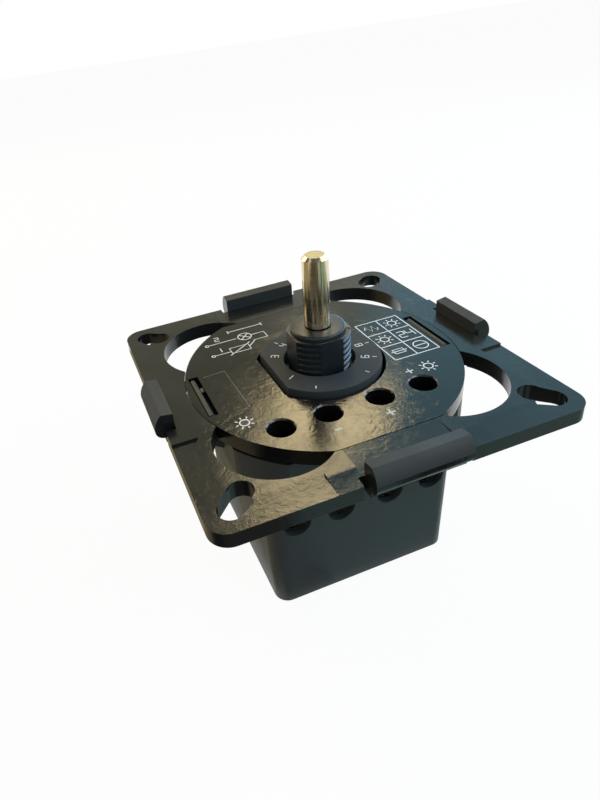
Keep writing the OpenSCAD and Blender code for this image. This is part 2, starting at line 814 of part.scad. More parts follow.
// Terminal block over one pair of clamps: a roof with two screw wells, and the
// partitions that stand on the board
module terminal_block(side) {
    inner_x = clamp_gap / 2 - cage_w / 2 - 1.4;
    outer_x = clamp_gap / 2 + clamp_pitch + cage_w / 2 + 0.2;
    front = case_d / 2 - case_wall - 0.15;
    front_low = front - case_draft * (case_h - board_top) / case_h - 0.05;
    back = clamp_y - cage_d / 2 - 1.2;
    wall_t = clamp_pitch - cage_w - 2 * run_gap;
    translate([case_shift, 0, 0]) mirror([side < 0 ? 1 : 0, 0, 0]) {
        difference() {
            translate([0, 0, block_ceiling]) linear_extrude(block_roof) intersection() {
                translate([inner_x, -front]) square([outer_x - inner_x, front - back]);
                round_rect(2 * (outer_x + 0.3), 2 * front, case_corner_r - 0.8);
                translate([-side * case_shift, 0])
                    circle(collar_r - case_wall - fit_gap, $fn = 128);
            }
            for (i = [0, 1])
                translate([clamp_gap / 2 + i * clamp_pitch, -clamp_y, block_ceiling - 1])
                    cylinder(r = screw_head_r + 0.1, h = block_roof + 2);
        }
        for (x = [inner_x, clamp_gap / 2 + clamp_pitch / 2 - wall_t / 2])
            translate([x, -front_low, board_top])
                cube([x == inner_x ? 1.1 : wall_t, front_low - back, block_ceiling - board_top + eps]);
    }
}

module left_terminal_block() {
    color([0.2, 0.2, 0.22]) terminal_block(-1);
}

module right_terminal_block() {
    color([0.2, 0.2, 0.22]) terminal_block(1);
}

// One contact bar for each clamp, through the cage and down to the board behind it
module contact_bars() {
    leg_y = -clamp_y + cage_d / 2 + run_gap;
    color(tinned) for (x = clamp_x) translate([x - contact_w / 2, 0, 0]) {
        translate([0, -clamp_y - cage_d / 2 + 0.2, bar_bottom])
            cube([contact_w, cage_d + run_gap + 0.6, bar_t]);
        translate([0, leg_y, board_top]) cube([contact_w, 0.8, bar_top - board_top]);
    }
}

// Cage of one clamp: a square steel loop with a threaded roof
module clamp_cage(i) {
    height = cage_top - window_bottom + cage_foot;
    color([0.78, 0.78, 0.74]) translate([clamp_x[i], -clamp_y, window_bottom - cage_foot])
        difference() {
            translate([-cage_w / 2, -cage_d / 2, 0]) cube([cage_w, cage_d, height]);
            translate([-cage_w / 2 + cage_wall, -cage_d / 2 - 1, cage_foot])
                cube([cage_w - 2 * cage_wall, cage_d + 2, window_top - window_bottom]);
            cylinder(r = screw_r + shaft_fit, h = height + 1);
        }
}

module clamp_cage_1() { clamp_cage(0); }
module clamp_cage_2() { clamp_cage(1); }
module clamp_cage_3() { clamp_cage(2); }
module clamp_cage_4() { clamp_cage(3); }

// Screw of one clamp, with a cross slot. Its tip bears on the contact bar.
module clamp_screw(i) {
    tip = bar_top + 0.2;
    slot_w = 0.6;
    color([0.72, 0.72, 0.7]) translate([clamp_x[i], -clamp_y, 0]) difference() {
        union() {
            translate([0, 0, tip]) cylinder(r = screw_r, h = head_bottom - tip + eps);
            translate([0, 0, head_bottom]) cylinder(r = screw_head_r, h = screw_head_h);
        }
        for (a = [0, 90]) rotate([0, 0, a])
            translate([-screw_head_r + 0.4, -slot_w / 2, head_bottom + screw_head_h - 0.9])
                cube([2 * screw_head_r - 0.8, slot_w, 1]);
    }
}

module clamp_screw_1() { clamp_screw(0); }
module clamp_screw_2() { clamp_screw(1); }
module clamp_screw_3() { clamp_screw(2); }
module clamp_screw_4() { clamp_screw(3); }

// Two power transistors against the heat spreader at the back wall
transistor_w = 9.6;
transistor_x = 7;
spreader_t = 1.4;
spreader_back = case_d / 2 - case_wall - case_draft * (case_h - board_top) / case_h - 0.2;
spreader_front = spreader_back - spreader_t;
transistor_t = 4;
transistor_top = board_top + 12.6;

module transistor_places() {
    for (s = [-1, 1]) translate([case_shift + s * transistor_x + 0.3, spreader_front, 0]) children();
}

module power_transistors() {
    body_bottom = board_top + 2.6;
    body_h = 6;
    color(plastic_dark) transistor_places() {
        difference() {
            union() {
                translate([-transistor_w / 2, -1.2, body_bottom])
                    cube([transistor_w, 1.2, transistor_top - body_bottom]);
                translate([-transistor_w / 2, -transistor_t, body_bottom])
                    cube([transistor_w, transistor_t, body_h]);
            }
            translate([0, 1, transistor_top - 2]) rotate([90, 0, 0])
                cylinder(r = 1.5, h = 4);
        }
        for (x = [-2.5, 0, 2.5])
            translate([x - 0.4, -2.4, board_top]) cube([0.8, 0.5, body_bottom - board_top + eps]);
    }
}

module heat_spreader() {
    w = case_w - 2 * case_wall - 3.4;
    color([0.7, 0.71, 0.72]) difference() {
        translate([case_shift - w / 2, spreader_front, board_top])
            cube([w, spreader_t, transistor_top - board_top + 0.4]);
        transistor_places() translate([0, spreader_t + 1, transistor_top - 2])
            rotate([90, 0, 0]) cylinder(r = 1.25, h = spreader_t + 2);
        // Room for the heads of the board screws
        board_post_places() translate([0, 0, board_top - eps]) cylinder(r = 2.1, h = 1.5);
    }
}

module transistor_screws() {
    color(tinned) transistor_places() translate([0, 0, transistor_top - 2]) rotate([90, 0, 0]) {
        translate([0, 0, 1.2]) cylinder(r = 1.9, h = 1.3);
        translate([0, 0, -spreader_t + 0.2]) cylinder(r = 1.2, h = spreader_t + 1.2);
    }
}

// Distance from the housing's middle to a tall piece beside its wall
side_room = case_w / 2 - case_wall - case_draft - fit_gap;

// Storage capacitor on the left, upright, with a groove near its foot
module storage_capacitor() {
    x = case_shift - side_room + can_r;
    groove = 1.6;
    color([0.15, 0.18, 0.35]) translate([x, -5.2, board_top]) rotate_extrude()
        polygon([[0, 0], [can_r - 0.3, 0], [can_r, 0.3], [can_r, groove],
                 [can_r - 0.25, groove + 0.3], [can_r, groove + 0.6],
                 [can_r, can_h - 0.4], [can_r - 0.4, can_h], [0, can_h]]);
}

module film_capacitor() {
    t = 3.4;
    color([0.75, 0.2, 0.12]) translate([case_shift + side_room - t / 2, -4.4, board_top])
        linear_extrude(9) round_rect(t, 8, 0.5);
}

// Choke under the board: a ferrite drum with its winding
choke_x = -5.5;
choke_y = 2.5;

module choke_core() {
    lip = 1.2;
    core_r = choke_r * 0.4;
    top = board_bottom;
    color([0.25, 0.25, 0.27]) translate([choke_x, choke_y, 0]) rotate_extrude()
        polygon([[0, top], [choke_r, top], [choke_r, top - lip], [core_r, top - lip],
                 [core_r, top - choke_h + lip], [choke_r, top - choke_h + lip],
                 [choke_r, top - choke_h], [0, top - choke_h]]);
}

module choke_winding() {
    lip = 1.2;
    core_r = choke_r * 0.4;
    color([0.72, 0.4, 0.2])
        translate([choke_x, choke_y, board_bottom - choke_h + lip])
            linear_extrude(choke_h - 2 * lip) difference() {
                circle(choke_r - 0.4);
                circle(core_r);
            }
}

module control_chip() {
    body_t = 1.5;
    color(plastic_dark) {
        translate([5, 4, board_bottom - body_t - 0.1])
            linear_extrude(body_t) square([5, 4], center = true);
        for (x = [-1.9, -0.63, 0.63, 1.9], y = [-1, 1])
            translate([5 + x - 0.2, 4 + y * 2.6 - 0.6, board_bottom - 0.5])
                cube([0.4, 1.2, 0.5]);
    }
}

module fuse() {
    color([0.85, 0.86, 0.84]) translate([2, -7, board_bottom - 2.6]) rotate([0, 90, 0]) {
        cylinder(r = 2.2, h = 7, center = true);
        for (s = [-1, 1]) translate([0, 0, s * 4.3]) cylinder(r = 2.6, h = 1.8, center = true);
    }
}

module chip_resistors() {
    color([0.2, 0.2, 0.2]) for (i = [0:4])
        translate([3 + i * 2, -2.6, board_bottom - 0.6]) cube([1.2, 2, 0.6]);
}

mounting_plate();
cover_disc();
housing();
face_plate();
threaded_neck();
shaft();
shaft_clip();
pot_case();
resistor_disc();
rotor();
wiper();
pot_leads();
switch_case();
push_plunger();
contact_bridge();
fixed_contacts();
return_spring();
circuit_board();
board_screws();
left_terminal_block();
right_terminal_block();
contact_bars();
clamp_cage_1();
clamp_cage_2();
clamp_cage_3();
clamp_cage_4();
clamp_screw_1();
clamp_screw_2();
clamp_screw_3();
clamp_screw_4();
power_transistors();
heat_spreader();
transistor_screws();
storage_capacitor();
film_capacitor();
choke_core();
choke_winding();
control_chip();
fuse();
chip_resistors();
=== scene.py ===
# Dresses the flush-mounted rotary dimmer insert: the square clip plate with its disc and housing,
# the threaded neck, the brass shaft and the clamps. Sizes are in millimetres where a name ends in
# _mm or _MM and in the strokes of the printed marks, and in metres elsewhere. Z points up along
# the shaft, and the housing stands on Z = 0.
import json
import math

import bpy
from mathutils import Matrix, Vector

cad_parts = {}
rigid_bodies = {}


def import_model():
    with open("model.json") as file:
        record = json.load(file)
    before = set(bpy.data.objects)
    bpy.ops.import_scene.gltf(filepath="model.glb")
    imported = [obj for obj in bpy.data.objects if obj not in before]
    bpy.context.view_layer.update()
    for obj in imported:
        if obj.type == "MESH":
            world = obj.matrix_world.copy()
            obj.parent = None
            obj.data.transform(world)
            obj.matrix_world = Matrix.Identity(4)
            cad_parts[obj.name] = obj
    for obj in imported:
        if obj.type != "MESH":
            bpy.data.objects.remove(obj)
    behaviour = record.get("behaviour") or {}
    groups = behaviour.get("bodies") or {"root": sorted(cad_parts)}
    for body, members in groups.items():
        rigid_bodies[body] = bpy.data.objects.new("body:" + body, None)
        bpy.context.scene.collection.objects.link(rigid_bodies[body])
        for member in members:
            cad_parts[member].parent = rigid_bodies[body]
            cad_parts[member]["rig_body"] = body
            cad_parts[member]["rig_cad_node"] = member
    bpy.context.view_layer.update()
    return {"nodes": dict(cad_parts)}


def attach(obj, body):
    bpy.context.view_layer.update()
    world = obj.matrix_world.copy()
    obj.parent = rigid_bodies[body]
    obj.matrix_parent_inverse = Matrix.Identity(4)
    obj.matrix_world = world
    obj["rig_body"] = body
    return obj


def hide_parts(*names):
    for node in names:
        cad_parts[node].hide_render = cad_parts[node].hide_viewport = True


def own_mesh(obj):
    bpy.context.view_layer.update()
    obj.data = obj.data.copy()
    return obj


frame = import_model()
nodes = frame["nodes"]
MM = 0.001

# Camera
# A phone held above the plate's front left corner, turned a little about its own line of sight.
# The photograph's frame is 600 by 800, and the shift puts the shaft right of the middle.
AZIMUTH, ELEVATION, ROLL = (math.radians(a) for a in (-15.463, 29.463, -7.619))
CAMERA_DISTANCE = 103.54 * MM
CAMERA_TARGET = Vector((-10.56, 14.18, 32.6)) * MM
FOCAL_PIXELS = 587.472
FRAME_WIDTH = 600

backward = Vector((math.sin(AZIMUTH) * math.cos(ELEVATION),
                   -math.cos(AZIMUTH) * math.cos(ELEVATION), math.sin(ELEVATION)))
level = Vector((math.cos(AZIMUTH), math.sin(AZIMUTH), 0))
upright = backward.cross(level)
right = math.cos(ROLL) * level + math.sin(ROLL) * upright
up = math.cos(ROLL) * upright - math.sin(ROLL) * level
lens = bpy.data.cameras.new("photo_camera")
lens.sensor_fit = "HORIZONTAL"
lens.sensor_width = 36
lens.lens = FOCAL_PIXELS / FRAME_WIDTH * lens.sensor_width
lens.shift_x = 0.11881
lens.shift_y = -0.09677
lens.clip_start = 0.002
camera = bpy.data.objects.new("photo_camera", lens)
bpy.context.scene.collection.objects.link(camera)
camera.matrix_world = Matrix((right, up, backward)).transposed().to_4x4()
camera.matrix_world.translation = CAMERA_TARGET + backward * CAMERA_DISTANCE
bpy.context.scene.camera = camera

# Floor, backdrop and light
# A white sweep under a soft sky, and three large plain lamps: a warm one behind on the left, and
# cool ones on the right and in front on the right. Cards stand for the room that glossy skins
# mirror.
bpy.context.scene.view_settings.view_transform = "Standard"


def linear(hex_colour):
    """The linear colour, with alpha, of an sRGB hex value."""
    parts = [int(hex_colour[i:i + 2], 16) / 255 for i in (1, 3, 5)]
    return [p / 12.92 if p <= 0.04045 else ((p + 0.055) / 1.055) ** 2.4 for p in parts] + [1]


def add_node(tree, kind, settings=None, links=None):
    """Adds a node with its properties and socket values, and links its inputs."""
    node = tree.nodes.new(kind)
    for key, value in (settings or {}).items():
        if str(key).islower():
            setattr(node, key, value)
        else:
            node.inputs[key].default_value = value
    for key, socket in (links or {}).items():
        tree.links.new(socket, node.inputs[key])
    return node


def blank_tree(owner):
    """Turns nodes on for a material or a world and returns its tree, emptied."""
    owner.use_nodes = True
    owner.node_tree.nodes.clear()
    return owner.node_tree


def seen_directly(tree):
    """A value that is 1 for camera, glossy and transmission rays, and 0 for all others."""
    rays = add_node(tree, "ShaderNodeLightPath")
    seen = add_node(tree, "ShaderNodeMath", {"operation": "MAXIMUM"},
                    {0: rays.outputs["Is Camera Ray"], 1: rays.outputs["Is Glossy Ray"]})
    seen = add_node(tree, "ShaderNodeMath", {"operation": "MAXIMUM"},
                    {0: seen.outputs[0], 1: rays.outputs["Is Transmission Ray"]})
    return seen.outputs[0]


FLOOR_WHITE = "#f3f2f0"
FLOOR_SIZE = 3.0
FLOOR_DROP = 0.0001
FLOOR_GLOW = 0.95

bpy.ops.mesh.primitive_plane_add(size=FLOOR_SIZE, location=(0, 0, -FLOOR_DROP))
floor = bpy.context.object
floor.name = "floor"
floor_paint = bpy.data.materials.new("white_sweep")
tree = blank_tree(floor_paint)
share = add_node(tree, "ShaderNodeMath", {"operation": "MULTIPLY", 1: FLOOR_GLOW},
                 {0: seen_directly(tree)})
matt = add_node(tree, "ShaderNodeBsdfDiffuse", {"Color": linear(FLOOR_WHITE)})
glow = add_node(tree, "ShaderNodeEmission", {"Color": (1, 1, 1, 1), "Strength": 1.0})
mixed = add_node(tree, "ShaderNodeMixShader", links={
    0: share.outputs[0], 1: matt.outputs[0], 2: glow.outputs[0]})
add_node(tree, "ShaderNodeOutputMaterial", links={"Surface": mixed.outputs[0]})
floor.data.materials.append(floor_paint)

SKY_FILL = 0.42
sky = bpy.data.worlds.new("soft_sky")
bpy.context.scene.world = sky
tree = blank_tree(sky)
seen = seen_directly(tree)
fill = add_node(tree, "ShaderNodeBackground", {"Color": (1, 1, 1, 1), "Strength": SKY_FILL})
white = add_node(tree, "ShaderNodeBackground", {"Color": (1, 1, 1, 1), "Strength": 1.0})
mixed = add_node(tree, "ShaderNodeMixShader", links={
    0: seen, 1: fill.outputs[0], 2: white.outputs[0]})
add_node(tree, "ShaderNodeOutputWorld", links={"Surface": mixed.outputs[0]})


LAMP_TARGET_MM = (0, 0, 30)


def soft_lamp(name, place_mm, size_mm, power, colour, mirrored=True):
    """A square softbox that faces a point on the shaft's line just under the plate. Mirrored
    says whether glossy surfaces show it."""
    lamp = bpy.data.lights.new(name, "AREA")
    lamp.shape = "SQUARE"
    lamp.size = size_mm * MM
    lamp.energy = power
    lamp.color = linear(colour)[:3]
    box = bpy.data.objects.new(name, lamp)
    bpy.context.scene.collection.objects.link(box)
    place = Vector(place_mm) * MM
    box.location = place
    box.visible_glossy = mirrored
    box.rotation_euler = (place - Vector(LAMP_TARGET_MM) * MM).to_track_quat("Z", "Y").to_euler()


soft_lamp("warm_back_lamp", (-150, 330, 300), 260, 0.9, "#ffe2b4")
soft_lamp("cool_side_lamp", (420, 60, 240), 260, 1.3, "#b4d8ff")
soft_lamp("front_lamp", (330, -300, 260), 300, 1.4, "#aad0f6", False)


CARD_VEIN_MM = 9
WALL_TARGET_MM = (-8, -12, 33)


def card(name, place_mm, facing, size_mm, colour, strength, grain=0.0, lean=0.0):
    """A glowing card that only reflections show. Facing is the direction of its normal, grain
    is how much its brightness varies, as wood does, and lean turns it in its own plane."""
    bpy.ops.mesh.primitive_plane_add(size=1, location=Vector(place_mm) * MM,
                                     rotation=Vector(facing).to_track_quat("Z", "Y").to_euler())
    board = bpy.context.object
    board.rotation_euler.rotate_axis("Z", math.radians(lean))
    board.name = name
    board.scale = (size_mm[0] * MM, size_mm[1] * MM, 1)
    board.visible_camera = False
    board.visible_diffuse = False
    board.visible_shadow = False
    paint = bpy.data.materials.new(name)
    tree = blank_tree(paint)
    place = add_node(tree, "ShaderNodeTexCoord").outputs["Object"]
    stretch = add_node(tree, "ShaderNodeMapping",
                       {"Scale": (size_mm[0] * MM, size_mm[1] * MM, 1)}, {"Vector": place})
    veins = add_node(tree, "ShaderNodeTexNoise", {
        "Scale": 1 / (CARD_VEIN_MM * MM), "Detail": 6.0, "Roughness": 0.7, "Distortion": 1.6},
        {"Vector": stretch.outputs[0]})
    glow_level = add_node(tree, "ShaderNodeMapRange", {
        "From Min": 0.35, "From Max": 0.65, "To Min": strength * (1 - grain),
        "To Max": strength * (1 + grain * 0.4)}, {"Value": veins.outputs[0]})
    shine = add_node(tree, "ShaderNodeEmission", {"Color": linear(colour)},
                     {"Strength": glow_level.outputs[0]})
    add_node(tree, "ShaderNodeOutputMaterial", links={"Surface": shine.outputs[0]})
    board.data.materials.append(paint)


def wall(name, azimuth, elevation, distance_mm, size_mm, colour, strength, grain=0.0, lean=0.0):
    """A card square to the line from a point of the disc, in front of the shaft on the left.
    The azimuth is in degrees from +Y towards +X."""
    across, rise = math.radians(azimuth), math.radians(elevation)
    away = Vector((math.sin(across) * math.cos(rise), math.cos(across) * math.cos(rise),
                   math.sin(rise)))
    card(name, Vector(WALL_TARGET_MM) + away * distance_mm, away, size_mm, colour, strength,
         grain, lean)


# The room: a bright, veined panel behind on the right, between dim walls, and a dim table with
# two dark strips where the shaft mirrors it. A cool window stands low behind on the right, a
# neutral one in front on the right, and the far left and the ceiling are darkest.
wall("warm_panel", 24.5, 41.5, 400, (89, 138), "#ffe9b5", 10.0, 0.6, -25)
wall("dim_left_wall", -6, 38, 460, (392, 420), "#b0ae94", 1.2)
wall("dim_middle_wall", 25, 24, 500, (170, 190), "#b4b4a2", 1.5)
wall("cool_right_wall", 56, 38, 460, (400, 420), "#a6dcee", 1.3)
card("table_front_left", (-62, -83, 0.05), (0, 0, 1), (112, 133), "#7d7258", 0.35)
card("table_front_right", (52, -83, 0.05), (0, 0, 1), (116, 133), "#b0d4cc", 0.6)
card("table_left", (-110, 32, 0.05), (0, 0, 1), (184, 96), "#a89a78", 0.9)
card("shaft_shade", (-74, -50, 0.3), (0, 0, 1), (20, 90), "#3a3426", 0.1, 0, -56)
card("shaft_shade_right", (34, -82, 0.3), (0, 0, 1), (14, 90), "#3a3426", 0.1, 0, 22)
wall("cool_window", 50, 4, 300, (200, 56), "#96ccff", 9.0)
wall("front_window", 131.5, 39, 350, (220, 150), "#eef0e6", 6.0)
wall("dim_far_left", -78, 34, 460, (480, 400), "#8c8c80", 0.4)
card("dim_ceiling", (0, 0, 420), (0, 0, 1), (420, 420), "#8f8f88", 0.35)

# Clip plate
# Charcoal glass-filled plastic, moulded in one piece with its four clip bars. The skin is nearly
# smooth but a little wavy, which breaks up what it mirrors. Every edge is eased by a tenth or
# so, and carries a thin line of light.
EDGE_MM = 0.14
MERGE = 0.000002
FLAT_ANGLE, EDGE_ANGLE, SMOOTH_ANGLE = (math.radians(a) for a in (0.5, 38, 40))


def only(piece):
    """Makes piece the one selected object."""
    bpy.ops.object.select_all(action="DESELECT")
    piece.select_set(True)
    bpy.context.view_layer.objects.active = piece


def slope_step(mesh, foot_mm, line_mm, run_mm, height_slack_mm=0.02, line_slack_mm=0.01):
    """Moves the foot of a low square step outwards, so that its wall slopes."""
    for vertex in mesh.vertices:
        if abs(vertex.co.z / MM - foot_mm) < height_slack_mm:
            for axis in (0, 1):
                place_mm = vertex.co[axis] / MM
                if abs(abs(place_mm) - line_mm) < line_slack_mm:
                    vertex.co[axis] += math.copysign(run_mm * MM, place_mm)


def merged_copy(node, name, flatten=False):
    """A copy of a CAD node under a new name, for a piece that replaces it. Its loose triangles
    are merged and, if it is to be flattened, joined into whole flat faces."""
    piece = nodes[node].copy()
    piece.data = nodes[node].data.copy()
    piece.parent = None
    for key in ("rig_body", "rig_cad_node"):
        del piece[key]
    bpy.context.scene.collection.objects.link(piece)
    piece.name = name
    piece.data.name = name
    only(piece)
    bpy.ops.object.mode_set(mode="EDIT")
    bpy.ops.mesh.select_all(action="SELECT")
    bpy.ops.mesh.remove_doubles(threshold=MERGE)
    if flatten:
        bpy.ops.mesh.dissolve_limited(angle_limit=FLAT_ANGLE)
    bpy.ops.object.mode_set(mode="OBJECT")
    return piece


def round_edges(piece, width_mm, segments, angle):
    """Rounds the edges of piece, the active object, that turn by more than the angle."""
    rounding = piece.modifiers.new("edges", "BEVEL")
    rounding.width = width_mm * MM
    rounding.segments = segments
    rounding.limit_method = "ANGLE"
    rounding.angle_limit = angle
    bpy.ops.object.modifier_apply(modifier=rounding.name)


def eased_copy(node, name, width_mm, soft_steps=()):
    """A copy of a CAD node with its edges rounded. Soft steps, given by the height of the foot,
    its distance from the middle and its run, are sloped first."""
    piece = merged_copy(node, name, flatten=True)
    for step in soft_steps:
        slope_step(piece.data, *step)
    round_edges(piece, width_mm, 2, EDGE_ANGLE)
    bpy.ops.object.shade_smooth_by_angle(angle=SMOOTH_ANGLE)
    levelled = piece.modifiers.new("level_faces", "WEIGHTED_NORMAL")
    levelled.keep_sharp = True
    levelled.weight = 100
    bpy.ops.object.modifier_apply(modifier=levelled.name)
    return piece


CLOUD_MM = 9
WAVE_MM = 1.5
GRAIN_DEPTH = 0.00003
WAVE_DEPTH = 0.0001


def plastic_finish(name, colour, roughness, grain_mm, grain_height, ripple=0.0, gloss=0.5):
    """Moulded plastic with a spark-eroded grain, and a sheen that varies with handling. The
    ripple is the shallow waviness that breaks a mirrored patch up, and gloss is how strongly
    the skin mirrors."""
    finish = bpy.data.materials.new(name)
    tree = blank_tree(finish)
    place = add_node(tree, "ShaderNodeTexCoord").outputs["Object"]
    grain = add_node(tree, "ShaderNodeTexNoise", {"Scale": 1 / (grain_mm * MM), "Detail": 2.0},
                     {"Vector": place})
    cloud = add_node(tree, "ShaderNodeTexNoise", {"Scale": 1 / (CLOUD_MM * MM), "Detail": 4.0,
                                                  "Roughness": 0.6}, {"Vector": place})
    shade = add_node(tree, "ShaderNodeValToRGB", links={"Fac": cloud.outputs[0]})
    dark, light = [c * 0.8 for c in linear(colour)[:3]], [c * 1.25 for c in linear(colour)[:3]]
    shade.color_ramp.elements[0].color = dark + [1]
    shade.color_ramp.elements[1].color = light + [1]
    sheen = add_node(tree, "ShaderNodeMapRange", {"From Min": 0.3, "From Max": 0.7,
                                                  "To Min": roughness - 0.05,
                                                  "To Max": roughness + 0.06},
                     {"Value": cloud.outputs[0]})
    bump = add_node(tree, "ShaderNodeBump", {"Strength": grain_height, "Distance": GRAIN_DEPTH},
                    {"Height": grain.outputs[0]})
    waves = add_node(tree, "ShaderNodeTexNoise", {"Scale": 1 / (WAVE_MM * MM), "Detail": 4.0,
                                                  "Roughness": 0.62, "Distortion": 1.5},
                     {"Vector": place})
    wavy = add_node(tree, "ShaderNodeBump", {"Strength": ripple, "Distance": WAVE_DEPTH},
                    {"Height": waves.outputs[0], "Normal": bump.outputs[0]})
    surface = add_node(tree, "ShaderNodeBsdfPrincipled", {"IOR": 1.5, "Specular IOR Level": gloss},
                       {"Base Color": shade.outputs[0], "Roughness": sheen.outputs[0],
                        "Normal": wavy.outputs[0]})
    add_node(tree, "ShaderNodeOutputMaterial", links={"Surface": surface.outputs[0]})
    return finish


def dress(piece, finish):
    """Gives a piece one finish."""
    piece.data.materials.clear()
    piece.data.materials.append(finish)


SOFT_STEPS_MM = ((32.6, 23.1, 0.45), (32.775, 23.7, 0.3))
BAR_FOOT_MM = 33.0
charcoal = plastic_finish("charcoal_moulded_plastic", "#191b1a", 0.16, 0.22, 0.2, 0.34)
plate = eased_copy("mounting_plate", "clip_plate", EDGE_MM, soft_steps=SOFT_STEPS_MM)
dress(plate, charcoal)

# The bars' own skin is matt, because that part of the mould was blasted for grip
blasted = plastic_finish("blasted_bar_plastic", "#262a2a", 0.55, 0.25, 0.4, 0.1, 0.35)
plate.data.materials.append(blasted)
for face in plate.data.polygons:
    if face.center.z > BAR_FOOT_MM * MM:
        face.material_index = 1
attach(plate, "insert")
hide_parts("mounting_plate")

# Cover disc, face plate and housing
# Three mouldings of charcoal plastic. The disc's mould was the smoothest, so it mirrors the room
# most clearly. The face plate is greyer and blasted matt, and the housing is plain and matt.
smooth_charcoal = plastic_finish("smooth_charcoal_plastic", "#111212", 0.12, 0.35, 0.12, 0.3)
matt_charcoal = plastic_finish("matt_charcoal_plastic", "#313634", 0.42, 0.3, 0.3, 0.1, 0.3)
grey_face = plastic_finish("blasted_grey_plastic", "#373b3a", 0.62, 0.3, 0.3, 0.1, 0.2)
for node, name, finish in (("cover_disc", "round_cover", smooth_charcoal),
                           ("face_plate", "neck_face_plate", grey_face),
                           ("housing", "dimmer_housing", matt_charcoal)):
    piece = eased_copy(node, name, EDGE_MM)
    dress(piece, finish)
    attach(piece, "insert")
    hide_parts(node)

# Threaded neck
# Near-black moulded plastic in one with its round flange. The M10 thread stands only on the
# four corners between the flats, and a plain shoulder stands above it.
PITCH_MM = 1.0
CREST_MM = 4.97
ROOT_MM = 4.68
TURNS = 10
THREAD_STEPS = 96
THREAD_MERGE = 0.000005
FLANGE_MM = (9.1, 30.9, 32.1)
THREAD_START_MM = FLANGE_MM[2] - 1.5
THREAD_BOTTOM_MM = FLANGE_MM[2] - 0.3
THREAD_TOP_MM = 38.95
SHAVE_MM = (20, 50)
FLAT_MM = 4.6
FLAT_PROUD_MM = 0.01
FLAT_HALF_MM = 1.88
FLAT_ENDS_MM = (FLANGE_MM[2] - 0.4, THREAD_TOP_MM - 0.01)
NECK_TOP_MM = 39.7
SHOULDER_MM = 4.25
SHOULDER_FOOT_MM = THREAD_TOP_MM - 0.6
SHOULDER_ROUND_MM = 0.3
SHOULDER_EDGE_ANGLE, NECK_SMOOTH_ANGLE = math.radians(60), math.radians(28)
BORE_MM = 1.8
MOUTH_MM = (2.05, 37.9)
CLEAR_MM = 1


def join_or_cut(piece, tool, operation):
    """Joins or cuts with a second solid, which is used up."""
    only(piece)
    cut = piece.modifiers.new("cut", "BOOLEAN")
    cut.operation = operation
    cut.solver = "EXACT"
    cut.object = tool
    bpy.ops.object.modifier_apply(modifier=cut.name)
    bpy.data.objects.remove(tool)


def round_bar(radius_mm, bottom_mm, top_mm, sides=96):
    """A plain round bar on the shaft's line."""
    bpy.ops.object.select_all(action="DESELECT")
    bpy.ops.mesh.primitive_cylinder_add(vertices=sides, radius=radius_mm * MM,
                                        depth=(top_mm - bottom_mm) * MM,
                                        location=(0, 0, (top_mm + bottom_mm) / 2 * MM))
    bpy.ops.object.transform_apply(location=True, rotation=True, scale=True)
    return bpy.context.object


# One groove's section, wound up the neck
bpy.ops.object.select_all(action="DESELECT")
bpy.ops.mesh.primitive_plane_add(size=1)
thread = bpy.context.object
section = ((ROOT_MM, 0), (CREST_MM, 0.42), (CREST_MM, 0.78), (ROOT_MM, 1.0))
bpy.ops.object.mode_set(mode="EDIT")
bpy.ops.mesh.select_mode(type="EDGE")
bpy.ops.mesh.select_all(action="SELECT")
bpy.ops.mesh.delete(type="ONLY_FACE")
bpy.ops.object.mode_set(mode="OBJECT")
loop = [thread.data.edges[0].vertices[0]]
while len(loop) < 4:
    for edge in thread.data.edges:
        a, b = edge.vertices
        if loop[-1] in (a, b):
            other = b if a == loop[-1] else a
            if other not in loop:
                loop.append(other)
                break
for index, (radius, rise) in zip(loop, section):
    thread.data.vertices[index].co = Vector((radius, 0, THREAD_START_MM + rise * PITCH_MM)) * MM
for edge in thread.data.edges:
    edge.select = set(edge.vertices) == {loop[0], loop[-1]}
bpy.ops.object.mode_set(mode="EDIT")
bpy.ops.mesh.delete(type="EDGE")
bpy.ops.object.mode_set(mode="OBJECT")
winding = thread.modifiers.new("winding", "SCREW")
winding.screw_offset = PITCH_MM * MM
winding.iterations = TURNS
winding.steps = winding.render_steps = THREAD_STEPS
winding.use_merge_vertices = True
winding.merge_threshold = MERGE
only(thread)
bpy.ops.object.modifier_apply(modifier=winding.name)
bpy.ops.object.mode_set(mode="EDIT")
bpy.ops.mesh.select_all(action="SELECT")
bpy.ops.mesh.remove_doubles(threshold=THREAD_MERGE)
bpy.ops.mesh.bisect(plane_co=(0, 0, THREAD_TOP_MM * MM), plane_no=(0, 0, 1),
                    use_fill=True, clear_outer=True)
bpy.ops.mesh.select_all(action="SELECT")
bpy.ops.mesh.bisect(plane_co=(0, 0, THREAD_BOTTOM_MM * MM), plane_no=(0, 0, 1),
                    use_fill=True, clear_inner=True)
bpy.ops.mesh.select_all(action="SELECT")
bpy.ops.mesh.normals_make_consistent(inside=False)
bpy.ops.object.mode_set(mode="OBJECT")

neck = thread
neck.name = "threaded_neck_moulding"


def block(width_mm, depth_mm, bottom_mm, top_mm):
    """A box on the shaft's line."""
    bpy.ops.object.select_all(action="DESELECT")
    bpy.ops.mesh.primitive_cube_add(size=1, location=(0, 0, (bottom_mm + top_mm) / 2 * MM))
    box = bpy.context.object
    box.scale = (width_mm * MM, depth_mm * MM, (top_mm - bottom_mm) * MM)
    bpy.ops.object.transform_apply(location=True, rotation=True, scale=True)
    return box


